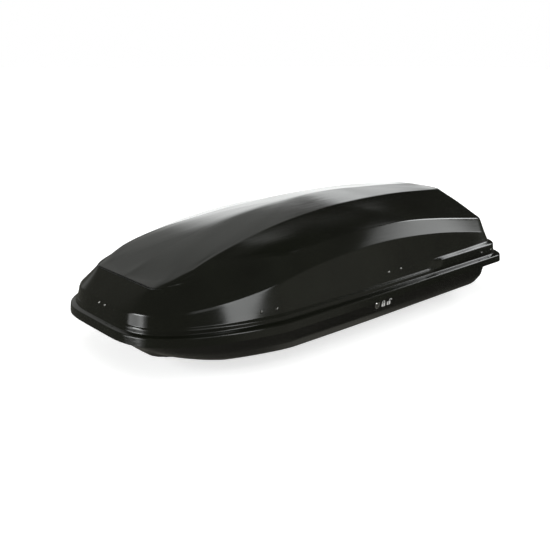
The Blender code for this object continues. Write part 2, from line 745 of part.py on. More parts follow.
def build_stays():
    (foot_y, foot_z), (head_y, head_z) = STAY_FOOT, STAY_HEAD
    tilt = math.atan2(foot_y - head_y, head_z - foot_z)
    tube, shaft = stay_tube_mesh(), stay_rod_mesh()
    for place, x in zip(("front", "rear"), STAY_X):
        foot = (x, foot_y, foot_z)
        add_part("stay_tube_" + place, tube, BLACK_HARDWARE, foot, (tilt, 0.0, 0.0))
        add_part("stay_rod_" + place, shaft, CHROME, foot, (tilt, 0.0, 0.0))
        add_part("stay_foot_bracket_" + place, stay_foot_bracket(x), STEEL)
        add_part("stay_head_bracket_" + place, stay_head_bracket(x), STEEL, on_lid=True)


# Central lock

def build_lock_barrel():
    """The housing in the tray wall, the barrel that the key turns, and the barrel's cam."""
    turn = lock_direction().to_track_quat("Z", "X").to_euler()
    bore = 0.0078
    housing = turned([(bore, 0.0032), (0.0120, 0.0032), (0.0138, 0.0020), (0.0138, 0.0009), (0.0105, 0.0009),
                      (0.0105, -0.020), (bore, -0.020), (bore, 0.0032)], steps=24)
    add_part("lock_housing", housing, CHROME, lock_point(0.0), turn)
    barrel = turned([(0.0, 0.0018), (0.0074, 0.0018), (0.0074, -0.0225), (0.0, -0.0225)], steps=20)
    keyway = box((-0.0007, -0.0040, -0.003), (0.0007, 0.0040, 0.01))
    barrel = combine(barrel, [("DIFFERENCE", keyway)], "barrel")
    add_part("lock_barrel", barrel, CHROME, lock_point(0.0), turn)


def build_lock_cam():
    """The cam on the barrel's inner end. Its pin drives the rod; unlocked, it leans towards the nose."""
    front, pin_end = 0.0225 + GAP, 0.0385
    tip = (-CAM_RADIUS * math.sin(CAM_LEAN), CAM_RADIUS * math.cos(CAM_LEAN))
    outline = []
    for centre, radius, start in (((0.0, 0.0), 0.0075, CAM_LEAN - math.pi), (tip, 0.0045, CAM_LEAN)):
        for i in range(8):
            angle = start + math.pi * i / 7
            outline.append((centre[0] + radius * math.cos(angle), centre[1] + radius * math.sin(angle)))
    arm = moved(plate(outline, 0.0025, "y"), (0.0, front, 0.0))
    pin = rod((tip[0], front + 0.001, tip[1]), (tip[0], pin_end, tip[1]), 0.0025, sides=12)
    cam = combine(arm, [("UNION", pin)], "cam")
    inward = -lock_direction()
    add_part("lock_cam", cam, STEEL, lock_point(0.0), (math.atan2(inward.z, inward.y), 0.0, 0.0))


def build_lock_rod():
    """The sliding rod behind the tray's opening side, unlocked, with its drive plate at the lock."""
    half = ROD_THICKNESS / 2
    tip_x = LOCK_X - CAM_RADIUS * math.sin(CAM_LEAN)
    start, end = CATCH_X[0] - 0.042 - ROD_TRAVEL, CATCH_X[2] - 0.002 - ROD_TRAVEL
    bar = box((start, ROD_Y - half, ROD_BOTTOM), (end, ROD_Y + half, ROD_TOP))
    low, high = ROD_BOTTOM - 0.008, ROD_TOP - 0.002
    drive = box((tip_x - 0.014, ROD_Y - half, low), (tip_x + 0.014, ROD_Y + half, high))
    low, high = ROD_BOTTOM - 0.003, ROD_TOP - 0.0005
    window = box((tip_x - 0.0037, ROD_Y - 0.01, low), (tip_x + 0.0037, ROD_Y + 0.01, high))
    mesh = combine(bar, [("UNION", drive), ("DIFFERENCE", window)], "lock_rod")
    add_part("lock_rod", mesh, STEEL)


def build_latch_hooks():
    """Hooks riveted to the rod; each tongue slides over a striker's pin as the rod locks."""
    outline = [(-0.052, ROD_BOTTOM), (-0.016, ROD_BOTTOM), (-0.014, ROD_TOP + 0.001),
               (-0.022, CATCH_Z + 0.0035), (0.005, CATCH_Z + 0.0038), (0.007, CATCH_Z + 0.0085),
               (-0.030, CATCH_Z + 0.0120),
               (-0.040, CATCH_Z + 0.0060), (-0.052, ROD_TOP)]
    mesh = plate(outline, ROD_THICKNESS, "y")
    for place, x in zip(("front", "middle", "rear"), CATCH_X):
        add_part("latch_hook_" + place, mesh, STEEL, (x - ROD_TRAVEL, ROD_Y + ROD_THICKNESS / 2 + GAP, 0.0))


def build_rod_guides():
    """Nylon guides on the tray wall that the rod slides through."""
    for number, x in enumerate(GUIDE_X, start=1):
        wall = -(lip_half_width(x) - 0.030 - SHELL - 0.0030)
        low, high = ROD_BOTTOM - 0.005, ROD_TOP + 0.004
        block = box((x - 0.008, wall, low), (x + 0.008, ROD_Y + 0.006, high))
        room = ROD_THICKNESS / 2 + 0.0005
        bottom, top = ROD_BOTTOM - 0.0005, ROD_TOP + 0.0005
        window = box((x - 0.02, ROD_Y - room, bottom), (x + 0.02, ROD_Y + room, top))
        mesh = combine(block, [("DIFFERENCE", window)], "guide")
        add_part("rod_guide_" + str(number), mesh, BLACK_HARDWARE)


def build_strikers():
    """Steel strikers riveted inside the lid, each with a pin for its hook."""
    seats = rivet_seats()
    for i, (place, x) in enumerate(zip(("front", "middle", "rear"), CATCH_X)):
        half = RIVET_SPACING[i] / 2 + 0.008
        top = RIVET_Z[i] + 0.010
        outline = [(-half, top - 0.022), (-0.012, top - 0.040), (-0.010, -0.001), (0.010, -0.001),
                   (0.012, top - 0.040), (half, top - 0.022), (half, top), (-half, top)]
        body = moved(plate(outline, 0.002, "y"), (x, STRIKER_Y, 0.0))
        pin = rod((x, STRIKER_Y + 0.001, CATCH_Z), (x, ROD_Y + 0.012, CATCH_Z), 0.003, sides=14)
        steps = [("UNION", pin)]
        for seat in seats[2 * i:2 * i + 2]:
            reach = (seat[0].y - STRIKER_Y - 0.001) / seat[1].y
            steps.append(("UNION", rivet(seat, reach)))
        add_part("striker_" + place, combine(body, steps, "striker"), STEEL, on_lid=True)


def build_nose_plate():
    """The stiffening plate riveted inside the nose, parallel to its wall."""
    seats = nose_seats()
    depth = SHELL + 0.0035
    turn = seats[0][1].to_track_quat("Z", "Y").to_matrix().to_4x4()
    middle = (seats[0][0] + seats[1][0]) / 2
    body = moved(plate(stadium(0.034, 0.009), 0.002, "z"), (0.0, 0.0, -depth))
    body.transform(Matrix.Translation(middle) @ turn)
    steps = [("UNION", rivet(seat, depth - 0.001)) for seat in seats]
    add_part("nose_plate", combine(body, steps, "nose_plate"), STEEL, on_lid=True)


# Luggage straps

def strap_anchor_mesh():
    """A wire loop's plate: a strip bent over the strap's end bar."""
    outline = [(-0.022, 0.0), (0.022, 0.0), (0.022, 0.0015), (0.018, 0.0015), (0.016, 0.008), (-0.016, 0.008),
               (-0.018, 0.0015), (-0.022, 0.0015)]
    body = moved(plate(outline, 0.012, "y"), (0.0, -0.006, 0.0))
    window = box((-0.0145, -0.02, 0.0015), (0.0145, 0.02, 0.0065))
    return combine(body, [("DIFFERENCE", window)], "anchor")


def build_straps():
    floor = FLOOR + SHELL
    anchor = strap_anchor_mesh()
    for place, x in zip(("front", "rear"), STRAP_X):
        low = floor + 0.0022
        ends = STRAP_HALF_SPAN + 0.016
        strap = box((x - STRAP_HALF_WIDTH, -ends, low), (x + STRAP_HALF_WIDTH, ends, low + STRAP_THICKNESS))
        add_part("luggage_strap_" + place, strap, WEBBING)
        clip_low = low + STRAP_THICKNESS + GAP
        clip = plate(stadium(0.030, 0.017, steps=4), 0.009, "z")
        clip.transform(Matrix.Rotation(math.pi / 2, 4, "Z"))
        add_part("strap_buckle_" + place, clip, BLACK_HARDWARE, (x, -0.06, clip_low))
        for side, sign in (("near", -1), ("hinge", 1)):
            add_part("strap_anchor_" + place + "_" + side, anchor, STEEL, (x, sign * 0.196, floor + GAP))


clear_scene()
PARTS = new_collection("roof_cargo_box")
CUTTERS = new_collection("cutters")
DATUM = bpy.data.objects.new("datum", None)
PARTS.objects.link(DATUM)
DATUM.location = (-LENGTH / 2, -ORIGIN_Y, LIP_HEIGHT)
LID_AXIS = bpy.data.objects.new("lid_axis", None)
PARTS.objects.link(LID_AXIS)
LID_AXIS.parent = DATUM
LID_AXIS.location = (0.0, HINGE_Y, HINGE_Z)

build_tray()
build_lid()
build_rails()
build_clamps()
build_hinges()
build_stays()
build_lock_barrel()
build_lock_cam()
build_lock_rod()
build_latch_hooks()
build_rod_guides()
build_strikers()
build_nose_plate()
build_straps()
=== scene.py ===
"""Looks of the roof cargo box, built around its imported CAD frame.

Box coordinates, in metres: x runs back from the nose tip, y to the hinged side, z up from the lid's lip.
place() turns them into the frame's coordinates.
"""

import math

import bmesh
import bpy
import numpy as np
from mathutils import Matrix, Vector

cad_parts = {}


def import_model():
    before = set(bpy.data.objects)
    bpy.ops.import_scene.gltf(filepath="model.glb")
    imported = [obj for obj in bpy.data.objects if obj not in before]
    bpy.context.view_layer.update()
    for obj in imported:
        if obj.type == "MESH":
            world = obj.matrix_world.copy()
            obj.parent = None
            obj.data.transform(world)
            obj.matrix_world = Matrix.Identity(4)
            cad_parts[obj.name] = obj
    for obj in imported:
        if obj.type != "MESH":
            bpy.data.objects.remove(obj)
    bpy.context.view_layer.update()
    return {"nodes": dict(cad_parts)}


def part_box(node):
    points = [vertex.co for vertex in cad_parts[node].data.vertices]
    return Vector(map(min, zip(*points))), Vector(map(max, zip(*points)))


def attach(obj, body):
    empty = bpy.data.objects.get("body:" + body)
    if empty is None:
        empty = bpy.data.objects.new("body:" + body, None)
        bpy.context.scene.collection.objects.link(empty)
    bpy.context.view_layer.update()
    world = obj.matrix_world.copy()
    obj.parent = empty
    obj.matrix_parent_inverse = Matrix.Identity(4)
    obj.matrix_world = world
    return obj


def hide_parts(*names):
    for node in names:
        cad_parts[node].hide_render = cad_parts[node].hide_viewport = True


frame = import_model()
NODES = frame["nodes"]

# Shape of the box, the same dimensions as the CAD shells
LENGTH = 1.92
HALF_WIDTH = 0.465
TAIL_TAPER = 0.022
SHELL = 0.004
FLOOR = -0.115
LIP_TOP = 0.030
ORIGIN = np.array([-LENGTH / 2, -0.00725, 0.158])

# Keels under the nose, and the tray's openings
KEEL_INNER = 0.010
KEEL_OUTER = 0.165
KEEL_EDGE = 0.018
KEEL_DEPTH = 0.017
KEEL_START = 0.07
KEEL_END = 0.30
BAR_X = (0.59, 1.30)
CLAMP_Y = 0.25
SLOT_HALF_LENGTH = 0.11
SLOT_HALF_WIDTH = 0.006
LOCK_X = 0.985
LOCK_Z = -0.027
LOCK_BORE = 0.0108

# Rivets that hold the strikers and the nose plate inside the lid
CATCH_X = (0.44, 1.095, 1.735)
RIVET_SPACING = (0.060, 0.075, 0.075)
RIVET_Z = (0.075, 0.090, 0.057)
NOSE_RIVET_Y = 0.020
NOSE_RIVET_RISE = 0.72

# Padlock signs beside the lock, across and up from its centre
SIGN_HALF = 0.0100
SIGN_LOW = -0.0130
SIGN_HIGH = 0.0020
KEYHOLE_HALF = 0.0019
KEYHOLE_MARGIN = 0.003
SHACKLE_RADIUS = 0.0063
SHACKLE_WIDTH = 0.0030
LOCKED_SIGN_AT = 0.037
OPEN_SIGN_AT = 0.068
OPEN_SHIFT = 0.0110


def smooth(pairs, x):
    """Smooth values at x through (x, value) pairs, level beyond both ends."""
    x = np.asarray(x, float)
    if len(pairs) == 1:
        return np.full_like(x, pairs[0][1])
    px = np.array([p[0] for p in pairs])
    pv = np.array([p[1] for p in pairs])
    slope = np.empty_like(pv)
    slope[1:-1] = (pv[2:] - pv[:-2]) / (px[2:] - px[:-2])
    slope[0] = (pv[1] - pv[0]) / (px[1] - px[0])
    slope[-1] = (pv[-1] - pv[-2]) / (px[-1] - px[-2])
    at = np.clip(x, px[0], px[-1])
    i = np.clip(np.searchsorted(px, at, side="right") - 1, 0, len(px) - 2)
    span = px[i + 1] - px[i]
    t = (at - px[i]) / span
    rise = t * (1 - t) ** 2 * slope[i] - t * t * (1 - t) * slope[i + 1]
    return (1 + 2 * t) * (1 - t) ** 2 * pv[i] + t * t * (3 - 2 * t) * pv[i + 1] + rise * span


def lip_half_width(x):
    return smooth([(0.4, HALF_WIDTH), (0.9, HALF_WIDTH), (LENGTH, HALF_WIDTH - TAIL_TAPER)], x)


def inset_width(inset):
    """(x, half width) pairs of a line an even inset inside the lip."""
    return [(x, float(lip_half_width(x)) - inset) for x in (0.4, 0.9, 1.4, LENGTH)]


class EdgeLine:
    """One long edge of a shell, from the nose's centre round the opening side to the tail's centre."""

    def __init__(self, nose, tail, width, height, front=0.06, nose_length=0.49, bend=1.25, square=3.3,
                 tail_length=0.12):
        self.nose, self.tail = nose, tail
        self.width, self.height = width, height
        self.front, self.nose_length = front, nose_length
        self.bend, self.square = bend, square
        self.tail_length = tail_length

    def points(self, u):
        """Points at u: 0 to 1 is the front, 1 to 2 the nose flank, 2 to 3 the side, 3 to 4 the tail."""
        start, end = self.nose + self.nose_length, self.tail - self.tail_length
        nose_angle = np.clip(u - 1, 0, 1) * math.pi / 2
        tail_angle = np.clip(u - 3, 0, 1) * math.pi / 2
        flank_x = self.nose + self.nose_length * (1 - np.cos(nose_angle) ** (2 / self.bend))
        x = np.where(u <= 2, flank_x, start + (end - start) * np.clip(u - 2, 0, 1))
        x = np.where(u > 3, end + self.tail_length * np.sin(tail_angle), x)
        full = smooth(self.width, x)
        y = np.where(u <= 1, self.front * u, 0.0)
        flank_y = self.front + (full - self.front) * np.sin(nose_angle) ** (2 / self.square)
        y = np.where((u > 1) & (u <= 2), flank_y, y)
        y = np.where(u > 2, full, y)
        y = np.where(u > 3, full * np.sqrt(np.clip(np.cos(tail_angle), 0, 1)), y)
        y = np.where(u >= 4, 0.0, y)
        return np.stack([x, -y, smooth(self.height, x)], axis=1)

    def half_width(self, x):
        full = smooth(self.width, x)
        reach = np.clip((x - self.nose) / self.nose_length, 0, 1)
        return self.front + (full - self.front) * (1 - (1 - reach) ** self.bend) ** (1 / self.square)


LID_LIP_BOTTOM = EdgeLine(0.0, LENGTH, inset_width(0.0), [(0.0, 0.0)])
LID_LIP_TOP = EdgeLine(0.003, LENGTH - 0.003, inset_width(0.002), [(0.0, LIP_TOP)])
LID_LEDGE = EdgeLine(0.021, LENGTH - 0.025, inset_width(0.024), [(0.0, 0.035)], nose_length=0.48)
LID_BEAD_FOOT = EdgeLine(0.0225, LENGTH - 0.027, inset_width(0.0262), [(0.0, 0.0490)], nose_length=0.47)
LID_BEAD = EdgeLine(0.0250, LENGTH - 0.031, inset_width(0.0300), [(0.0, 0.0535)], nose_length=0.47)
LID_WALL_FOOT = EdgeLine(0.028, LENGTH - 0.034, inset_width(0.0335), [(0.0, 0.0560)], nose_length=0.47)
LID_SHOULDER = EdgeLine(
    0.036, 1.865, [(0.04, 0.421), (0.2, 0.414), (0.4, 0.406), (0.9, 0.404), (LENGTH, 0.380)],
    [(0.04, 0.094), (0.16, 0.101), (0.31, 0.119), (0.42, 0.138), (0.55, 0.168), (0.71, 0.193),
     (0.91, 0.209), (1.13, 0.210), (1.38, 0.191), (1.6, 0.162), (1.8, 0.130)],
    nose_length=0.47)
LID_FEATURE_LINE = EdgeLine(
    0.120, 1.830, [(0.5, 0.360), (0.98, 0.368), (1.41, 0.366), (1.8, 0.352)],
    [(0.12, 0.163), (0.244, 0.178), (0.417, 0.203), (0.56, 0.232), (0.79, 0.260), (0.98, 0.270),
     (1.22, 0.265), (1.41, 0.246), (1.77, 0.192)],
    front=0.17, nose_length=0.50, bend=1.2, square=1.9, tail_length=0.07)
LID_TOP_EDGE = EdgeLine(
    0.124, 1.775, [(0.12, 0.232), (0.25, 0.232), (0.4, 0.218), (0.6, 0.188), (0.9, 0.164), (1.75, 0.134)],
    [(0.12, 0.164), (0.15, 0.171), (0.2, 0.190), (0.3, 0.226), (0.4, 0.252), (0.5, 0.272), (0.7, 0.301),
     (0.9, 0.318), (1.08, 0.328), (1.39, 0.326), (1.74, 0.302)],
    front=0.17, nose_length=0.13, bend=1.3, square=2.3, tail_length=0.05)
RIDGE_HEIGHT = [(0.12, 0.164), (0.22, 0.207), (0.317, 0.246), (0.403, 0.268), (0.514, 0.294), (0.637, 0.317),
                (0.766, 0.333), (0.895, 0.342), (1.03, 0.350), (1.2, 0.350), (1.35, 0.342), (1.52, 0.333),
                (1.70, 0.318), (1.775, 0.302)]
RIDGE_SOFTNESS = [(0.12, 0.20), (0.30, 0.13), (0.50, 0.05), (0.75, 0.018), (1.0, 0.010), (1.75, 0.010)]
SHELF_START = 1.30
SHELF_RAMP = 0.030
SHELF_HEIGHT = 0.082
SHELF_EDGE_SHARE = [(1.3, 0.181), (1.38, 0.193), (1.6, 0.245), (1.8, 0.351)]
SHELF_TOP_SHARE = [(1.3, 0.231), (1.38, 0.244), (1.6, 0.311), (1.8, 0.446)]
SHELF_EDGE = EdgeLine(0.03, LENGTH - 0.030, inset_width(0.027), [(0.0, SHELF_HEIGHT)], nose_length=0.47)
SHELF_FOOT = EdgeLine(0.026, LENGTH - 0.026, inset_width(0.0245), [(0.0, 0.052)], nose_length=0.47)

WALL_TOP_INSET = 0.030
WALL_TOP_Z = -0.004
WALL_FOOT_INSET = 0.034
WALL_FOOT_Z = -0.055
TRAY_RIM_TOP = EdgeLine(0.012, LENGTH - 0.012, inset_width(0.010), [(0.0, 0.018)])
TRAY_RIM_FOOT = EdgeLine(0.012, LENGTH - 0.012, inset_width(0.010), [(0.0, WALL_TOP_Z)])
TRAY_WALL_TOP = EdgeLine(0.036, 1.835, inset_width(WALL_TOP_INSET), [(0.0, WALL_TOP_Z)], nose_length=0.48)
TRAY_WALL_FOOT = EdgeLine(
    0.070, 1.822, inset_width(WALL_FOOT_INSET), [(0.07, -0.040), (0.30, -0.054), (0.5, WALL_FOOT_Z)],
    nose_length=0.47)
TRAY_BEND = EdgeLine(
    0.110, 1.800, inset_width(0.056), [(0.11, -0.066), (0.30, -0.088), (0.5, -0.094)], nose_length=0.45)
TRAY_FLOOR_EDGE = EdgeLine(
    0.170, 1.765, inset_width(0.098), [(0.17, -0.086), (0.25, -0.104), (0.33, FLOOR)], nose_length=0.43)


# Fine shells

def stations():
    """u values of the columns, close together where the plan outline turns fast."""
    front = np.linspace(0, 1, 5)[:-1]
    flank = 1 + np.linspace(0, 1, 57)[:-1] ** 1.5
    side = 2 + np.linspace(0, 1, 73)[:-1]
    tail = 3 + (1 - (1 - np.linspace(0, 1, 33)) ** 1.7)
    return np.concatenate([front, flank, side, tail])


# Columns of every net, and the shares across a band where its rows stand
U = stations()
SPREAD = np.array([0.0, 0.02, 0.08, 0.2, 0.35, 0.5, 0.65, 0.8, 0.92, 0.98, 1.0])


def unit(v):
    """Vectors at length 1."""
    return v / np.maximum(np.linalg.norm(v, axis=-1, keepdims=True), 1e-9)


def skin(rows, radii, crowns=None, spread=SPREAD, arc=6):
    """Rows of a smooth net through edge rows, each inner edge rounded off over its radius.

    radii holds one length, or one per column, for each row; crowns the outward swell of each band.
    """
    out = [rows[0]]
    cut_in, cut_out = [], []
    for i, row in enumerate(rows):
        if 0 < i < len(rows) - 1:
            before, after = rows[i - 1] - row, rows[i + 1] - row
            room = np.minimum(np.linalg.norm(before, axis=1), np.linalg.norm(after, axis=1)) * 0.46
            reach = np.minimum(np.broadcast_to(radii[i], len(row)), room)[:, None]
            cut_in.append(row + unit(before) * reach)
            cut_out.append(row + unit(after) * reach)
        else:
            cut_in.append(row)
            cut_out.append(row)
    for i in range(len(rows) - 1):
        start, end = cut_out[i], cut_in[i + 1]
        swell = 0.0 if crowns is None else crowns[i]
        normal = unit(np.cross(np.gradient((start + end) / 2, axis=0), end - start))
        for t in spread[1:]:
            bulge = 4 * t * (1 - t)
            bulge = swell * bulge * bulge
            out.append(start + (end - start) * t + normal * bulge)
        if i + 1 < len(rows) - 1:
            corner = rows[i + 1]
            leave = cut_out[i + 1]
            for k in range(1, arc + 1):
                t = k / arc
                out.append(end * (1 - t) ** 2 + corner * 2 * t * (1 - t) + leave * t * t)
    return out


def place(points):
    """Box coordinates as the frame's coordinates."""
    return np.asarray(points) + ORIGIN


def mesh_object(name, points, faces, material=None, smooth_shading=True):
    mesh = bpy.data.meshes.new(name)
    mesh.from_pydata([tuple(p) for p in points], [], faces)
    mesh.update()
    made = bpy.data.objects.new(name, mesh)
    bpy.context.scene.collection.objects.link(made)
    if smooth_shading:
        mesh.shade_smooth()
    if material is not None:
        mesh.materials.append(material)
    return made


def apply_modifiers(obj):
    bpy.context.view_layer.update()
    graph = bpy.context.evaluated_depsgraph_get()
    mesh = bpy.data.meshes.new_from_object(obj.evaluated_get(graph))
    obj.modifiers.clear()
    old = obj.data
    obj.data = mesh
    bpy.data.meshes.remove(old)


def net_faces(rows, columns):
    """Quads of a net whose points run along each row in turn."""
    faces = []
    for r in range(rows - 1):
        for c in range(columns - 1):
            a = r * columns + c
            faces.append((a, a + 1, a + columns + 1, a + columns))
    return faces


def shell(name, rows, materials):
    """Both halves of a shell from its rows, given an even thickness inwards."""
    half = np.array(rows)
    points = half.reshape(-1, 3)
    faces = net_faces(*half.shape[:2])
    mirrored = points * np.array([1, -1, 1])
    shift = len(points)
    faces += [tuple(shift + i for i in reversed(face)) for face in faces]
    both = place(np.concatenate([points, mirrored]))
    made = mesh_object(name, both, faces)
    bm = bmesh.new()
    bm.from_mesh(made.data)
    bmesh.ops.remove_doubles(bm, verts=bm.verts, dist=0.00002)
    bmesh.ops.dissolve_degenerate(bm, edges=bm.edges, dist=0.00001)
    bmesh.ops.recalc_face_normals(bm, faces=bm.faces)
    bm.to_mesh(made.data)
    bm.free()
    made.data.shade_smooth()
    for material in materials:
        made.data.materials.append(material)
    solid = made.modifiers.new("thickness", "SOLIDIFY")
    solid.thickness = SHELL
    solid.offset = -1.0
    solid.material_offset = 1
    solid.material_offset_rim = 0
    apply_modifiers(made)
    return made


def step_up(value, start, span):
    """0 up to start, rising smoothly to 1 over a span."""
    t = np.clip((value - start) / span, 0, 1)
    return t * t * (3 - 2 * t)


def on_shelf(row):
    """0 ahead of the tail's shelf, 1 on it; its front end leans back."""
    return step_up(row[:, 0], SHELF_START + row[:, 2] - 0.03, SHELF_RAMP)[:, None]


def wall_row(shares):
    """A row of the lid's wall at shares of the way up from its foot."""
    foot, top = LID_WALL_FOOT.points(U), LID_SHOULDER.points(U)
    return foot + (top - foot) * smooth(shares, foot[:, 0])[:, None]


def shelved(row, line):
    """The row moved out to a line of the shelf's face, where the shelf is."""
    return row + (line.points(U) - row) * on_shelf(row)


def middle_rows(line, height, shares, soft):
    """Rows from a line towards the centre plane, whose crest is rounded over `soft` pairs of half widths."""
    edge = line.points(U)
    x = line.nose + (line.tail - line.nose) * (U / 4) ** 1.15
    rows = []
    for share in shares:
        row = edge * (1 - share)
        row[:, 0] += x * share
        low, high = smooth(line.height, row[:, 0]), smooth(height, row[:, 0])
        half = np.maximum(np.abs(edge[:, 1]), 1e-4)
        depth = np.minimum(smooth(soft, row[:, 0]), half)
        off = half * (1 - share)
        slope = (high - low) / half
        flat = np.where(off < depth, depth / 2 + off ** 2 / (2 * depth), off)
        row[:, 2] = high - slope * flat
        rows.append(row)
    return rows


def lid_rows():
    edges = [line.points(U) for line in (LID_LIP_BOTTOM, LID_LIP_TOP, LID_LEDGE)]
    edges += [shelved(line.points(U), SHELF_FOOT) for line in (LID_BEAD_FOOT, LID_BEAD, LID_WALL_FOOT)]
    edges += [shelved(wall_row(SHELF_EDGE_SHARE), SHELF_EDGE), wall_row(SHELF_TOP_SHARE)]
    edges += [line.points(U) for line in (LID_SHOULDER, LID_FEATURE_LINE, LID_TOP_EDGE)]
    shares = [0.12, 0.3, 0.5, 0.68, 0.82, 0.91, 0.96, 0.985, 1.0]
    inner = middle_rows(LID_TOP_EDGE, RIDGE_HEIGHT, shares, RIDGE_SOFTNESS)
    edges.append(inner[0])
    shoulder = smooth([(0.05, 0.007), (0.4, 0.006), (0.9, 0.004)], LID_SHOULDER.points(U)[:, 0])
    top = np.interp(U, [0, 1, 1.3, 1.7, 2.0, 2.3, 4], [0.006, 0.008, 0.030, 0.030, 0.016, 0.008, 0.006])
    feature = smooth([(1.1, 0.0045), (1.5, 0.0090)], LID_FEATURE_LINE.points(U)[:, 0])
    radii = [0.0, 0.0045, 0.004, 0.002, 0.001, 0.003, 0.004, 0.003, shoulder, feature, top, 0.0]
    crowns = [0.0] * 9 + [0.003, 0.0]
    return skin(edges, radii, crowns) + inner[1:]



def keeled(row):
    """The row pushed down along the two keels under the nose."""
    across = np.abs(row[:, 1])
    keel = step_up(across, KEEL_INNER, KEEL_EDGE) * (1 - step_up(across, KEEL_OUTER, KEEL_EDGE))
    length = step_up(row[:, 0], KEEL_START, 0.05) * (1 - step_up(row[:, 0], KEEL_END, 0.14))
    low = step_up(-row[:, 2], 0.045, 0.030)
    pushed = row.copy()
    pushed[:, 2] -= KEEL_DEPTH * keel * length * low
    return pushed


def tray_rows():
    lines = (TRAY_FLOOR_EDGE, TRAY_BEND, TRAY_WALL_FOOT, TRAY_WALL_TOP, TRAY_RIM_FOOT, TRAY_RIM_TOP)
    shares = [1.0, 0.95, 0.9, 0.85, 0.8, 0.74, 0.68, 0.62, 0.56, 0.5, 0.44, 0.38, 0.32, 0.26, 0.2, 0.14, 0.08]
    inner = middle_rows(TRAY_FLOOR_EDGE, TRAY_FLOOR_EDGE.height, shares, [(0.0, 0.01)])
    edges = [inner[-1]] + [line.points(U) for line in lines]
    radii = [0.0, 0.03, 0.016, 0.012, 0.003, 0.003, 0.0]
    return [keeled(row) for row in inner[:-1] + skin(edges, radii)]


# Openings in the tray

def join(name, parts):
    """One mesh object of several (points, faces) parts."""
    points, faces = [], []
    for some, polygons in parts:
        shift = len(points)
        points += [tuple(p) for p in some]
        faces += [tuple(shift + i for i in face) for face in polygons]
    return mesh_object(name, points, faces)


def prism(outline, normal, origin, depths):
    """A straight prism of a flat outline (across, up), whose ends stand at depths along the normal."""
    normal = Vector(normal).normalized()
    across = Vector((0, 0, 1)).cross(normal) if abs(normal.z) < 0.9 else Vector((1, 0, 0))
    across.normalize()
    up = normal.cross(across)
    ends = [[Vector(origin) + across * a + up * b + normal * depth for a, b in outline] for depth in depths]
    count = len(outline)
    faces = [tuple(range(count))[::-1], tuple(range(count, 2 * count))]
    faces += [(i, (i + 1) % count, count + (i + 1) % count, count + i) for i in range(count)]
    return ends[0] + ends[1], faces


def stadium(half_length, half_width, steps=8):
    """A slot's outline: a rectangle with half-round ends."""
    points = []
    for side in (1, -1):
        for i in range(steps + 1):
            angle = -math.pi / 2 + math.pi * i / steps
            points.append((side * (half_length - half_width + half_width * math.cos(angle)),
                           side * half_width * math.sin(angle)))
    return points


def lock_frame():
    """The lock's outward direction and its centre on the tray's outer wall."""
    lean, drop = WALL_FOOT_INSET - WALL_TOP_INSET, WALL_TOP_Z - WALL_FOOT_Z
    draft = math.atan2(lean, drop)
    inset = WALL_TOP_INSET + lean * (WALL_TOP_Z - LOCK_Z) / drop
    wall = (LOCK_X, inset - float(lip_half_width(LOCK_X)), LOCK_Z)
    return Vector((0.0, -math.cos(draft), -math.sin(draft))), Vector(place(wall))


def tray_cutters():
    """The clamps' slots and the lock's bore."""
    slots = []
    for x in BAR_X:
        for y in (-CLAMP_Y, CLAMP_Y):
            centre = place((x, y, FLOOR))
            slots.append(prism(stadium(SLOT_HALF_LENGTH, SLOT_HALF_WIDTH), (0, 0, 1), centre, (-0.01, 0.02)))
    outward, centre = lock_frame()
    bore = [(LOCK_BORE * math.cos(t), LOCK_BORE * math.sin(t)) for t in np.linspace(0, 2 * math.pi, 33)[:-1]]
    slots.append(prism(bore, outward, centre, (-0.03, 0.01)))
    return join("tray_cutters", slots)


def cut(obj, cutter):
    """Takes the cutter's shape out of the object, and removes the cutter."""
    knife = obj.modifiers.new("cut", "BOOLEAN")
    knife.operation = "DIFFERENCE"
    knife.solver = "EXACT"
    knife.object = cutter
    apply_modifiers(obj)
    bpy.data.objects.remove(cutter)


# Materials

RIB_SPACING = 0.062
RIB_HEIGHT = 0.0016
RIB_TOP = 0.060
YARN_WIDTH = 0.0014
YARN_LENGTH = 0.0022


def new_material(name, colour, roughness, metallic=0.0):
    made = bpy.data.materials.new(name)
    made.use_nodes = True
    shader = made.node_tree.nodes["Principled BSDF"]
    shader.inputs["Base Color"].default_value = (*colour, 1.0)
    shader.inputs["Roughness"].default_value = roughness
    shader.inputs["Metallic"].default_value = metallic
    return made, made.node_tree, shader


def noise(tree, scale, stretch=(1.0, 1.0, 1.0), detail=3.0):
    """Noise in the piece's own coordinates, in cells per metre, stretched per axis."""
    coordinates = tree.nodes.new("ShaderNodeTexCoord")
    mapping = tree.nodes.new("ShaderNodeMapping")
    mapping.inputs["Scale"].default_value = tuple(scale / part for part in stretch)
    texture = tree.nodes.new("ShaderNodeTexNoise")
    texture.inputs["Scale"].default_value = 1.0
    texture.inputs["Detail"].default_value = detail
    tree.links.new(coordinates.outputs["Object"], mapping.inputs["Vector"])
    tree.links.new(mapping.outputs["Vector"], texture.inputs["Vector"])
    return texture.outputs["Fac"]


def remap(tree, value, low, high, start=0.3, end=0.7):
    """Value remapped so that start to end becomes low to high."""
    node = tree.nodes.new("ShaderNodeMapRange")
    tree.links.new(value, node.inputs["Value"])
    node.inputs["From Min"].default_value = start
    node.inputs["From Max"].default_value = end
    node.inputs["To Min"].default_value = low
    node.inputs["To Max"].default_value = high
    return node.outputs["Result"]


def calculate(tree, operation, *inputs):
    node = tree.nodes.new("ShaderNodeMath")
    node.operation = operation
    for socket, value in zip(node.inputs, inputs):
        if isinstance(value, (int, float)):
            socket.default_value = value
        else:
            tree.links.new(value, socket)
    return node.outputs[0]


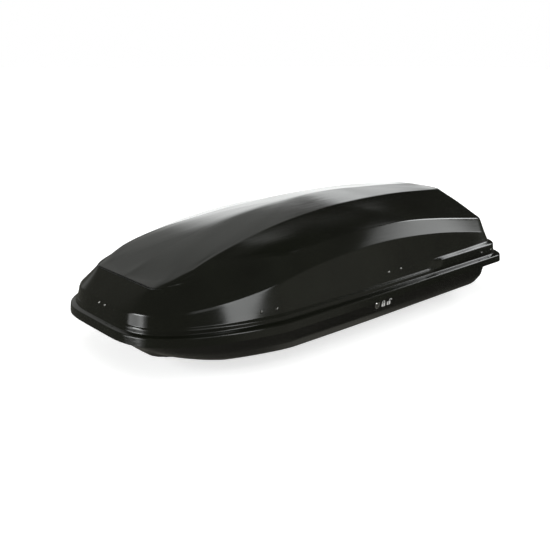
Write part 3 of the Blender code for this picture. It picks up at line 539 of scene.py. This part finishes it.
def vary_colour(tree, shader, dark, light, factor):
    mix = tree.nodes.new("ShaderNodeMix")
    mix.data_type = "RGBA"
    mix.inputs["A"].default_value = (*dark, 1.0)
    mix.inputs["B"].default_value = (*light, 1.0)
    tree.links.new(factor, mix.inputs["Factor"])
    tree.links.new(mix.outputs["Result"], shader.inputs["Base Color"])


def add_bump(tree, shader, layers):
    """Bump of (height, depth in metres) layers, one on another."""
    normal = None
    for height, depth in layers:
        bump = tree.nodes.new("ShaderNodeBump")
        bump.inputs["Strength"].default_value = 1.0
        bump.inputs["Distance"].default_value = depth
        tree.links.new(height, bump.inputs["Height"])
        if normal is not None:
            tree.links.new(normal, bump.inputs["Normal"])
        normal = bump.outputs["Normal"]
    tree.links.new(normal, shader.inputs["Normal"])


def shaded(colour, factor):
    return tuple(part * factor for part in colour)


def mottle(tree, shader, colour, dark, light, pattern):
    """The colour between dark and light shares of itself, over a pattern."""
    vary_colour(tree, shader, shaded(colour, dark), shaded(colour, light), remap(tree, pattern, 0, 1))


def vary_roughness(tree, shader, low, high, pattern):
    tree.links.new(remap(tree, pattern, low, high), shader.inputs["Roughness"])


def gloss_sheet(name, colour, roughness):
    """Thermoformed black sheet: a faint ripple, fine lines along its draw, and cloudy gloss."""
    made, tree, shader = new_material(name, colour, roughness)
    mottle(tree, shader, colour, 0.75, 1.3, noise(tree, 5.0))
    smear = noise(tree, 14.0, (4.0, 1.0, 1.0), detail=5.0)
    vary_roughness(tree, shader, roughness * 0.8, roughness * 1.25, smear)
    ripple = noise(tree, 11.0, (3.0, 1.0, 1.0), detail=1.0)
    lines = noise(tree, 120.0, (22.0, 1.5, 1.0), detail=1.0)
    peel = noise(tree, 420.0, detail=1.0)
    add_bump(tree, shader, [(ripple, 0.00022), (lines, 0.00012), (peel, 0.000006)])
    return made


def ribbed_inside(name, colour):
    """The shells' inner side: matt, finely pebbled, with stiffening ribs pressed along the floor."""
    made, tree, shader = new_material(name, colour, 0.5)
    mottle(tree, shader, colour, 0.8, 1.25, noise(tree, 9.0))
    vary_roughness(tree, shader, 0.42, 0.58, noise(tree, 30.0))
    coordinates = tree.nodes.new("ShaderNodeTexCoord")
    split = tree.nodes.new("ShaderNodeSeparateXYZ")
    tree.links.new(coordinates.outputs["Object"], split.inputs[0])
    phase = calculate(tree, "MULTIPLY", split.outputs["Y"], 2 * math.pi / RIB_SPACING)
    wave = calculate(tree, "COSINE", phase)
    rib = remap(tree, wave, 0.0, 1.0, 0.55, 0.85)
    on_floor = remap(tree, split.outputs["Z"], 1.0, 0.0, RIB_TOP - 0.008, RIB_TOP)
    rib = calculate(tree, "MULTIPLY", rib, on_floor)
    pebble = noise(tree, 700.0, detail=2.0)
    add_bump(tree, shader, [(rib, RIB_HEIGHT), (pebble, 0.00008)])
    return made


def moulded(name, colour, roughness):
    """Moulded nylon with a fine spark-eroded grain."""
    made, tree, shader = new_material(name, colour, roughness)
    mottle(tree, shader, colour, 0.8, 1.2, noise(tree, 40.0))
    vary_roughness(tree, shader, roughness * 0.85, roughness * 1.15, noise(tree, 120.0))
    grain = noise(tree, 1100.0, detail=2.0)
    sink = noise(tree, 60.0, detail=1.0)
    add_bump(tree, shader, [(grain, 0.00007), (sink, 0.0001)])
    return made


def plated(name, colour, roughness):
    """Plated or coated steel with mottled colour, patchy lustre and a fine pitting."""
    made, tree, shader = new_material(name, colour, roughness, 1.0)
    mottle(tree, shader, colour, 0.72, 1.12, noise(tree, 90.0, detail=6.0))
    vary_roughness(tree, shader, roughness * 0.7, roughness * 1.35, noise(tree, 42.857, detail=2.0))
    wave = noise(tree, 160.0, detail=2.0)
    pitting = noise(tree, 1500.0, detail=1.0)
    add_bump(tree, shader, [(wave, 0.00005), (pitting, 0.00001)])
    return made


def woven(name, colour):
    """Twill webbing: two crossing sets of yarns about a millimetre apart, with a soft sheen, and painted
    shade in the hollows between the yarns.
    """
    made, tree, shader = new_material(name, colour, 0.8)
    shader.inputs["Sheen Weight"].default_value = 0.35
    shader.inputs["Sheen Roughness"].default_value = 0.5
    coordinates = tree.nodes.new("ShaderNodeTexCoord")
    split = tree.nodes.new("ShaderNodeSeparateXYZ")
    tree.links.new(coordinates.outputs["Object"], split.inputs[0])
    across = calculate(tree, "MULTIPLY", split.outputs["X"], 2 * math.pi / YARN_WIDTH)
    lengthwise = calculate(tree, "MULTIPLY", split.outputs["Y"], 2 * math.pi / YARN_LENGTH)
    one = calculate(tree, "SINE", calculate(tree, "ADD", across, lengthwise))
    other = calculate(tree, "SINE", calculate(tree, "SUBTRACT", across, lengthwise))
    yarn = remap(tree, calculate(tree, "MAXIMUM", one, other), 0.0, 1.0, -0.4, 1.0)
    fuzz = remap(tree, noise(tree, 800.0), 0.7, 1.0)
    # Painted shade and light: the colour is darker in the hollows between the yarns and lighter on their
    # crests, varied by a random fuzz.
    lit = calculate(tree, "MULTIPLY", yarn, fuzz)
    vary_colour(tree, shader, shaded(colour, 0.45), shaded(colour, 1.5), lit)
    add_bump(tree, shader, [(yarn, 0.00035)])
    return made


def printed(name, colour):
    """Screen-printed ink of uneven thickness."""
    made, tree, shader = new_material(name, colour, 0.45)
    mottle(tree, shader, colour, 0.7, 1.0, noise(tree, 500.0))
    add_bump(tree, shader, [(noise(tree, 900.0), 0.00003)])
    return made


lid_black = gloss_sheet("lid_black", (0.0044, 0.0050, 0.0033), 0.125)
tray_black = gloss_sheet("tray_black", (0.0054, 0.0054, 0.0044), 0.17)
inside_black = ribbed_inside("inside_black", (0.0190, 0.0190, 0.0185))
NODE_FINISHES = {
    "black_nylon": moulded("black_nylon", (0.014, 0.014, 0.0145), 0.48),
    "grey_nylon": moulded("grey_nylon", (0.15, 0.15, 0.155), 0.50),
    "zinc_steel": plated("zinc_steel", (0.60, 0.60, 0.57), 0.34),
    "dark_steel": plated("dark_steel", (0.22, 0.22, 0.21), 0.16),
    "lock_chrome": plated("lock_chrome", (0.80, 0.80, 0.79), 0.11),
}
webbing = woven("webbing", (0.045, 0.046, 0.050))
print_white = printed("print_white", (0.62, 0.62, 0.61))

FINISH_OF = (
    ("striker", "dark_steel"), ("nose_plate", "dark_steel"),
    ("knob_", "grey_nylon"),
    ("bridge_plate", "black_nylon"), ("rod_guide", "black_nylon"), ("strap_buckle", "black_nylon"),
    ("stay_tube", "black_nylon"),
    ("stay_rod", "lock_chrome"), ("lock_housing", "lock_chrome"), ("lock_barrel", "lock_chrome"),
)


def finish_nodes():
    """A finish for every CAD node that shows."""
    for name, node in NODES.items():
        finish = next((value for start, value in FINISH_OF if name.startswith(start)), "zinc_steel")
        node.data.materials.clear()
        node.data.materials.append(NODE_FINISHES[finish])


# Pieces

def carry(obj, body, slot, *nodes):
    """The piece rides on a body, and stands for CAD nodes if any are named. Its slot is not used."""
    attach(obj, body)
    if nodes:
        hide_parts(*nodes)


def build_shells():
    lid = shell("lid_skin", lid_rows(), [lid_black, inside_black])
    tray = shell("tray_skin", tray_rows(), [tray_black, inside_black])
    cut(tray, tray_cutters())
    return lid, tray


def revolved(profile, steps=20):
    """(points, faces) of a solid turned about Z from (radius, z) pairs, top first, both ends on the axis."""
    points = [(0.0, 0.0, profile[0][1])]
    for radius, z in profile[1:-1]:
        points += [(radius * math.cos(2 * math.pi * i / steps), radius * math.sin(2 * math.pi * i / steps), z)
                   for i in range(steps)]
    points.append((0.0, 0.0, profile[-1][1]))
    faces = []
    last = len(points) - 1
    for i in range(steps):
        j = (i + 1) % steps
        faces.append((0, 1 + i, 1 + j))
        faces.append((last, last - steps + j, last - steps + i))
        for ring in range(len(profile) - 3):
            a = 1 + ring * steps
            faces.append((a + i, a + steps + i, a + steps + j, a + j))
    return points, faces


RIVET_DOME = [(0.0, 0.0034), (0.0014, 0.0033), (0.0028, 0.0028), (0.0039, 0.0019), (0.0046, 0.0009),
              (0.0058, 0.0007), (0.0061, 0.0002), (0.0061, -0.0016), (0.0, -0.0016)]


def rivet_places():
    """(x, z) of each striker's rivets."""
    places = []
    for x, spacing, z in zip(CATCH_X, RIVET_SPACING, RIVET_Z):
        places += [(x - spacing / 2, z), (x + spacing / 2, z)]
    return places


def build_rivets(lid):
    """Dark domed rivet heads over the strikers' rivets and the nose plate's."""
    seats = []
    for x, z in rivet_places():
        start = Vector(place((x, -0.6, z)))
        seats.append(lid.ray_cast(start, Vector((0, 1, 0)))[1:3])
    foot, shoulder = (line.points(np.array([0.0]))[0, 2] for line in (LID_WALL_FOOT, LID_SHOULDER))
    nose_z = foot + (shoulder - foot) * NOSE_RIVET_RISE
    for y in (-NOSE_RIVET_Y, NOSE_RIVET_Y):
        start = Vector(place((-0.1, y, nose_z)))
        seats.append(lid.ray_cast(start, Vector((1, 0, 0)))[1:3])
    points, faces = revolved(RIVET_DOME)
    parts = []
    for point, normal in seats:
        turn = Matrix.Translation(point) @ normal.to_track_quat("Z", "Y").to_matrix().to_4x4()
        parts.append(([turn @ Vector(p) for p in points], faces))
    heads = join("rivet_heads", parts)
    heads.data.shade_smooth()
    heads.data.materials.append(NODE_FINISHES["dark_steel"])
    carry(heads, "lid", "zinc_steel")


def arc_band(centre, radius, width, start, end, steps=14):
    """A flat outline along an arc."""
    angles = np.linspace(start, end, steps)
    outer, inner = radius + width / 2, radius - width / 2
    outline = [(centre[0] + outer * math.cos(t), centre[1] + outer * math.sin(t)) for t in angles]
    outline += [(centre[0] + inner * math.cos(t), centre[1] + inner * math.sin(t)) for t in angles[::-1]]
    return outline


def rectangle(left, right, low, high):
    return [(left, low), (right, low), (right, high), (left, high)]


def padlock(x, open_by):
    """Outlines of a plain padlock sign about x: a body round its keyhole, and a shackle, aside when open."""
    outlines = [rectangle(x - SIGN_HALF, x - KEYHOLE_HALF, SIGN_LOW, SIGN_HIGH),
                rectangle(x + KEYHOLE_HALF, x + SIGN_HALF, SIGN_LOW, SIGN_HIGH)]
    for low in (SIGN_LOW, SIGN_HIGH - KEYHOLE_MARGIN):
        outlines.append(rectangle(x - KEYHOLE_HALF, x + KEYHOLE_HALF, low, low + KEYHOLE_MARGIN))
    middle = x + open_by
    outlines.append(arc_band((middle, SIGN_HIGH + 0.0025), SHACKLE_RADIUS, SHACKLE_WIDTH, 0.0, math.pi))
    inner, outer = SHACKLE_RADIUS - SHACKLE_WIDTH / 2, SHACKLE_RADIUS + SHACKLE_WIDTH / 2
    outlines.append(rectangle(middle - outer, middle - inner, SIGN_HIGH, SIGN_HIGH + 0.0027))
    if not open_by:
        outlines.append(rectangle(x + inner, x + outer, SIGN_HIGH, SIGN_HIGH + 0.0027))
    return outlines


def build_lock_signs():
    """White padlock signs printed beside the lock: locked, then open."""
    outward, centre = lock_frame()
    outlines = padlock(LOCKED_SIGN_AT, 0.0) + padlock(OPEN_SIGN_AT, OPEN_SHIFT)
    signs = join("lock_signs", [prism(outline, outward, centre, (-0.0002, 0.00025)) for outline in outlines])
    signs.data.materials.append(print_white)
    carry(signs, "tray", "tray_plastic")


STRAP_STEPS = 90
STRAP_SECTION = [(-1.0, 0.5), (-0.96, 0.08), (-0.90, 0.0), (0.90, 0.0), (0.96, 0.08), (1.0, 0.5),
                 (0.96, 0.92), (0.90, 1.0), (0.5, 1.0), (0.0, 1.0), (-0.5, 1.0), (-0.90, 1.0), (-0.96, 0.92)]


def strap_mesh(name, low, high):
    """A webbing strap laid along y inside a box, its edges rounded and its run slightly uneven."""
    thickness = high.z - low.z
    half, middle = (high.x - low.x) / 2 * 0.985, (high.x + low.x) / 2
    points = []
    for share in np.linspace(0, 1, STRAP_STEPS + 1):
        y = low.y + (high.y - low.y) * share
        lift = 0.0009 * (1 - math.cos(share * 10 * math.pi)) * math.sin(share * math.pi) ** 2
        sway = 0.0005 * math.sin(share * 14)
        points += [(middle + sway + a * half, y, low.z + lift + b * thickness) for a, b in STRAP_SECTION]
    count = len(STRAP_SECTION)
    faces = []
    for i in range(STRAP_STEPS):
        for k in range(count):
            a, b = i * count + k, i * count + (k + 1) % count
            faces.append((a, b, b + count, a + count))
    faces += [tuple(range(count))[::-1], tuple(range(STRAP_STEPS * count, (STRAP_STEPS + 1) * count))]
    return mesh_object(name, points, faces, webbing)


def build_straps():
    for end in ("front", "rear"):
        node = "luggage_strap_" + end
        low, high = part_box(node)
        strap = strap_mesh("strap_" + end, low, high)
        carry(strap, "tray", "strap_webbing", node)


def rounded(width, length, radius, steps=5):
    """A rectangle outline with rounded corners."""
    outline = []
    for corner, (sx, sy) in enumerate(((1, 1), (-1, 1), (-1, -1), (1, -1))):
        for i in range(steps + 1):
            angle = (corner + i / steps) * math.pi / 2
            outline.append((sx * (width / 2 - radius) + radius * math.cos(angle),
                            sy * (length / 2 - radius) + radius * math.sin(angle)))
    return outline


def buckle_parts(centre, size):
    """A side-release buckle: a stepped body with grip ribs, and a prong, a bar and a rail on each side."""
    def block(width, length, radius, aside, forward, bottom, top):
        where = centre + Vector((aside, forward, 0))
        return prism(rounded(width, length, radius), (0, 0, 1), where, (size.z * bottom, size.z * top))

    parts = [block(size.x * 0.94, size.y * 0.52, 0.006, 0, 0, -0.5, 0.34),
             block(size.x * 0.74, size.y * 0.40, 0.005, 0, 0, 0.0, 0.48)]
    for step in range(-2, 3):
        parts.append(block(size.x * 0.5, 0.0018, 0.0008, 0, step * 0.0042, 0.0, 0.58))
    for side in (-1, 1):
        parts.append(block(0.0050, size.y * 0.26, 0.002, side * size.x * 0.40, size.y * 0.34, -0.4, 0.2))
        parts.append(block(size.x * 0.96, 0.0050, 0.002, 0, side * size.y * 0.44, -0.45, 0.15))
        parts.append(block(0.0036, size.y * 0.26, 0.0015, side * size.x * 0.44, -size.y * 0.34, -0.45, 0.15))
    return parts


def build_buckles():
    for end in ("front", "rear"):
        node = "strap_buckle_" + end
        low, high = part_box(node)
        buckle = join("buckle_" + end, buckle_parts((low + high) / 2, high - low))
        edge = buckle.modifiers.new("edge", "BEVEL")
        edge.width = 0.0006
        edge.segments = 3
        apply_modifiers(buckle)
        buckle.data.materials.append(NODE_FINISHES["black_nylon"])
        carry(buckle, "tray", "black_nylon", node)


finish_nodes()
lid_skin, tray_skin = build_shells()
carry(lid_skin, "lid", "lid_plastic", "lid_shell")
carry(tray_skin, "tray", "tray_plastic", "base_tray")
build_rivets(lid_skin)
build_lock_signs()
build_straps()
build_buckles()


# Stage

FLOOR_REACH = 60
FLOOR_GLOW = 0.68
BACKDROP_RADIUS = 58


def set_piece(name, mesh, colour, roughness, glow):
    """A self-lit white piece of the stage that glossy surfaces don't reflect."""
    made = bpy.data.objects.new(name, mesh)
    bpy.context.scene.collection.objects.link(made)
    white, _, shader = new_material(name + "_white", (colour, colour, colour), roughness)
    shader.inputs["Specular IOR Level"].default_value = 0.0
    shader.inputs["Emission Color"].default_value = (1.0, 1.0, 1.0, 1.0)
    shader.inputs["Emission Strength"].default_value = glow
    mesh.materials.append(white)
    made.visible_glossy = False
    return made


def floor():
    mesh = bpy.data.meshes.new("floor")
    corners = [(-1, -1), (1, -1), (1, 1), (-1, 1)]
    mesh.from_pydata([(FLOOR_REACH * x, FLOOR_REACH * y, 0) for x, y in corners], [], [(0, 1, 2, 3)])
    set_piece("floor", mesh, 0.80, 0.9, FLOOR_GLOW)


def backdrop():
    """A white ball round the stage that only the camera sees."""
    bm = bmesh.new()
    bmesh.ops.create_uvsphere(bm, u_segments=48, v_segments=24, radius=BACKDROP_RADIUS)
    mesh = bpy.data.meshes.new("backdrop")
    bm.to_mesh(mesh)
    bm.free()
    made = set_piece("backdrop", mesh, 0.0, 1.0, 1.0)
    made.visible_diffuse = False
    made.visible_shadow = False


def area_light(name, direction, distance, size, power):
    data = bpy.data.lights.new(name, "AREA")
    data.shape = "DISK"
    data.size = size
    data.energy = power
    made = bpy.data.objects.new(name, data)
    away = Vector(direction).normalized()
    made.location = away * distance
    made.rotation_euler = away.to_track_quat("Z", "Y").to_euler()
    bpy.context.scene.collection.objects.link(made)
    made.visible_glossy = False


def camera():
    data = bpy.data.cameras.new("camera")
    data.lens = 47.6
    data.sensor_width = 36
    made = bpy.data.objects.new("camera", data)
    made.location = (-2.045, -2.195, 1.070)
    made.rotation_euler = (math.radians(73.102), 0, math.radians(-41.224))
    bpy.context.scene.collection.objects.link(made)
    bpy.context.scene.camera = made


# Softboxes, faint glows and flags of the studio, in degrees round and above the box:
# (azimuth, half width, edge, lowest, highest, edge, strength)
SOFTBOXES = [
    (48, 9, 10, -12, 23, 6, 1.35),
    (41, 3, 2, 20, 26, 3, 0.7),
    (70.5, 24, 6, 14, 44, 10, 0.34),
    (-84.5, 5, 2.5, 7, 50, 6, 4.2),
    (-99, 8, 9, 24, 52, 8, 0.8),
    (-27.5, 2, 9.5, 10, 25, 3, 3.2),
    (-6, 12, 5, 23, 35, 3, 6.0),
    (164, 14, 6, -9, 31, 5, 2.6),
    (178, 3, 12, -9, 31, 5, 1.2),
    (164, 8, 6, 21, 33, 4, 8.0),
]
GLOWS = [
    (-64, 18, 14, -20, 9, 8, 0.16),
    (104, 12, 12, 10, 40, 10, 0.03),
    (-2, 12, 8, -60, -44, 6, 0.14),
]
FLAGS = [
    (22, 16, 8, 6, 58, 12, 0.75),
    (-20, 20, 8, -40, -12, 6, 0.60),
]
AMBIENT = 0.12
WARM = (1.0, 0.98, 0.86)
COOL = (0.98, 1.0, 1.0)
DEGREES = 180 / math.pi


def ramp(tree, value, low, high, edge):
    """1 between low and high, falling to 0 over an edge outside them."""
    sides = []
    for start, end in ((low - edge, low), (high + edge, high)):
        node = tree.nodes.new("ShaderNodeMapRange")
        node.interpolation_type = "SMOOTHSTEP"
        tree.links.new(value, node.inputs["Value"])
        node.inputs["From Min"].default_value = start
        node.inputs["From Max"].default_value = end
        sides.append(node.outputs["Result"])
    return calculate(tree, "MULTIPLY", *sides)


def window(tree, direction, azimuth, half, edge, low, high, rise, strength):
    """A soft-edged lit window of the sky."""
    turned = tree.nodes.new("ShaderNodeVectorRotate")
    turned.rotation_type = "Z_AXIS"
    turned.inputs["Angle"].default_value = -math.radians(azimuth)
    tree.links.new(direction, turned.inputs["Vector"])
    split = tree.nodes.new("ShaderNodeSeparateXYZ")
    tree.links.new(turned.outputs["Vector"], split.inputs[0])
    round_angle = calculate(tree, "ARCTAN2", split.outputs["Y"], split.outputs["X"])
    off = calculate(tree, "MULTIPLY", round_angle, DEGREES)
    above = calculate(tree, "MULTIPLY", calculate(tree, "ARCSINE", split.outputs["Z"]), DEGREES)
    sides, ends = ramp(tree, off, -half, half, edge), ramp(tree, above, low, high, rise)
    return calculate(tree, "MULTIPLY", calculate(tree, "MULTIPLY", sides, ends), strength)


def tinted(tree, strength, colour):
    background = tree.nodes.new("ShaderNodeBackground")
    background.inputs["Color"].default_value = (*colour, 1.0)
    tree.links.new(strength, background.inputs["Strength"])
    return background.outputs[0]


def world():
    """The studio as seen in the gloss: a dim glow, darker behind flags, and the softboxes."""
    made = bpy.data.worlds.new("studio")
    bpy.context.scene.world = made
    made.use_nodes = True
    tree = made.node_tree
    direction = tree.nodes.new("ShaderNodeTexCoord").outputs["Generated"]
    glow = AMBIENT
    for spec in GLOWS:
        glow = calculate(tree, "ADD", glow, window(tree, direction, *spec))
    for spec in FLAGS:
        passed = calculate(tree, "SUBTRACT", 1.0, window(tree, direction, *spec))
        glow = calculate(tree, "MULTIPLY", glow, passed)
    boxes = 0.0
    for spec in SOFTBOXES:
        boxes = calculate(tree, "ADD", boxes, window(tree, direction, *spec))
    total = tree.nodes.new("ShaderNodeAddShader")
    tree.links.new(tinted(tree, glow, WARM), total.inputs[0])
    tree.links.new(tinted(tree, boxes, COOL), total.inputs[1])
    tree.links.new(total.outputs[0], tree.nodes["World Output"].inputs["Surface"])


floor()
backdrop()
area_light("overhead", (-0.2, -0.3, 1.0), 4.0, 5.0, 75)
camera()
world()
bpy.context.scene.view_settings.view_transform = "Standard"
